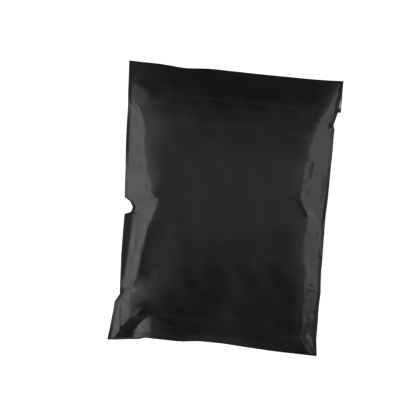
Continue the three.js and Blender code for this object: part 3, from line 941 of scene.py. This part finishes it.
def adhesive_material(finish):
    """Off-white hot melt adhesive: softly rippled, with dust caught in it."""
    material = bpy.data.materials.new("hot_melt_adhesive")
    material.use_nodes = True
    tree = material.node_tree
    shader = tree.nodes["Principled BSDF"]
    surface = grain(tree, scale=700.0, height=0.6, specks=800.0)
    cloud = surface.outputs["Cloud"]
    dust = combine(tree, "MULTIPLY", surface.outputs["Specks"], 0.5)
    amount = combine(tree, "ADD", combine(tree, "MULTIPLY", cloud, 0.5), dust, True)
    darker = [DUST_SHADE * value for value in finish.adhesive_colour]
    colour = mixed_colour(tree, amount, finish.adhesive_colour, darker)
    tree.links.new(colour, shader.inputs["Base Color"])
    clouded = combine(tree, "MULTIPLY", cloud, ADHESIVE_CLOUD)
    rough = combine(tree, "ADD", clouded, ADHESIVE_ROUGHNESS)
    tree.links.new(rough, shader.inputs["Roughness"])
    bump = add_node(tree, "ShaderNodeBump", height=surface.outputs["Height"], distance=0.0003)
    tree.links.new(bump.outputs[0], shader.inputs["Normal"])
    shader.inputs["Subsurface Weight"].default_value = 0.15
    shader.inputs["Subsurface Scale"].default_value = 0.002
    return material


def set_material(piece, material):
    piece.data.materials.clear()
    piece.data.materials.append(material)


class MAILER_OT_film_bag(bpy.types.Operator):
    """Models the film bag with its welds, folds, creases and flap"""

    bl_idname = "mailer.film_bag"
    bl_label = "Film bag"

    def execute(self, context):
        scene = context.scene
        points, masks = bag_points(scene.mailer_film_sizes)
        flat = points.reshape(-1, 3)
        low, high = flat.min(axis=0), flat.max(axis=0)
        points[..., :2] -= (low + high)[:2] / 2
        points[..., 2] -= low[2]
        piece = film_grid("film_bag", points, masks)
        set_material(piece, film_material(scene.mailer_film_finish))
        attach(piece, "root")
        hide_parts("mailer_bag")
        return {"FINISHED"}


class MAILER_OT_adhesive(bpy.types.Operator):
    """Gives the adhesive strip its hot melt finish"""

    bl_idname = "mailer.adhesive"
    bl_label = "Adhesive strip"

    def execute(self, context):
        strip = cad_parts["adhesive_strip"]
        set_material(strip, adhesive_material(context.scene.mailer_film_finish))
        return {"FINISHED"}


def soft_light(scene, name, size, place, tilt, power, turn=0):
    """A soft rectangular light that faces down, tilted about the Y axis and then turned."""
    data = bpy.data.lights.new(name, "AREA")
    data.shape = "RECTANGLE"
    data.size, data.size_y = size
    data.energy = power
    light = bpy.data.objects.new(name, data)
    scene.collection.objects.link(light)
    light.location = place
    light.rotation_euler = (0, math.radians(tilt), math.radians(turn))


class MAILER_OT_stage(bpy.types.Operator):
    """Lays the floor and sets the lights and the camera"""

    bl_idname = "mailer.stage"
    bl_label = "Stage"

    def execute(self, context):
        scene = context.scene
        settings = scene.mailer_stage
        deselect_all()
        bpy.ops.mesh.primitive_plane_add(size=FLOOR_SIZE)
        floor = bpy.context.object
        floor.name = "floor"
        material = bpy.data.materials.new("floor_paint")
        material.use_nodes = True
        shader = material.node_tree.nodes["Principled BSDF"]
        shader.inputs["Base Color"].default_value = (*settings.floor_colour, 1)
        shader.inputs["Roughness"].default_value = 0.9
        shader.inputs["Emission Color"].default_value = (1, 1, 1, 1)
        shader.inputs["Emission Strength"].default_value = settings.floor_glow
        set_material(floor, material)

        world = bpy.data.worlds.new("studio")
        scene.world = world
        world.use_nodes = True
        sky = world.node_tree.nodes["Background"]
        sky.inputs["Color"].default_value = (1, 1, 1, 1)
        sky.inputs["Strength"].default_value = WORLD_STRENGTH

        for name, size, place, share in OVERHEAD_LIGHTS:
            soft_light(scene, name, size, place, 0, share * settings.overhead_power, OVERHEAD_TURN)
        sides = (
            (-1, "left", settings.left_power, LEFT_LENGTH, 0),
            (1, "right", settings.right_power, RIGHT_LENGTH, RIGHT_MIDDLE),
        )
        for side, name, power, length, middle in sides:
            for kind, width, distance, height, tilt, share in SIDE_LIGHTS:
                soft_light(scene, f"{name}_{kind}", (width, length),
                           (side * distance, middle, height), side * tilt,
                           share * power * length / FULL_LENGTH)
        for name, side, power in CORNER_LIGHTS:
            soft_light(scene, name, (CORNER_LIGHT_SIZE, CORNER_LIGHT_SIZE),
                       (side * 0.75, -0.85, 0.6), side * 60, power, side * -45)

        data = bpy.data.cameras.new("camera")
        data.lens = LENS
        data.sensor_width = SENSOR_WIDTH
        camera = bpy.data.objects.new("camera", data)
        scene.collection.objects.link(camera)
        distance = settings.view_width * data.lens / data.sensor_width
        camera.location = (VIEW_POINT[0], VIEW_POINT[1], VIEW_POINT[2] + distance)
        camera.rotation_euler = (0, 0, settings.view_turn)
        data.clip_end = 10
        scene.camera = camera
        scene.view_settings.view_transform = "Standard"
        return {"FINISHED"}


class MAILER_PT_panel(bpy.types.Panel):
    """Lists the steps that make the mailer bag and its stage"""

    bl_idname = "MAILER_PT_panel"
    bl_label = "Mailer"
    bl_space_type = "VIEW_3D"
    bl_region_type = "UI"
    bl_category = "Mailer"

    def draw(self, context):
        layout = self.layout
        for operator, settings in STEPS:
            layout.operator(operator)
            if settings:
                group = getattr(context.scene, settings)
                for name in group.bl_rna.properties.keys():
                    if name not in ("rna_type", "name"):
                        layout.prop(group, name)


STEPS = (
    ("mailer.film_bag", "mailer_film_sizes"),
    ("mailer.adhesive", "mailer_film_finish"),
    ("mailer.stage", "mailer_stage"),
)
CLASSES = (
    FilmSizes, FilmFinish, StageSettings, MAILER_OT_film_bag, MAILER_OT_adhesive,
    MAILER_OT_stage, MAILER_PT_panel,
)


def register():
    for cls in CLASSES:
        bpy.utils.register_class(cls)
    bpy.types.Scene.mailer_film_sizes = bpy.props.PointerProperty(type=FilmSizes)
    bpy.types.Scene.mailer_film_finish = bpy.props.PointerProperty(type=FilmFinish)
    bpy.types.Scene.mailer_stage = bpy.props.PointerProperty(type=StageSettings)


def unregister():
    del bpy.types.Scene.mailer_stage
    del bpy.types.Scene.mailer_film_finish
    del bpy.types.Scene.mailer_film_sizes
    for cls in reversed(CLASSES):
        bpy.utils.unregister_class(cls)


def main():
    register()
    bpy.ops.mailer.film_bag()
    bpy.ops.mailer.adhesive()
    bpy.ops.mailer.stage()


if __name__ == "__main__":
    main()
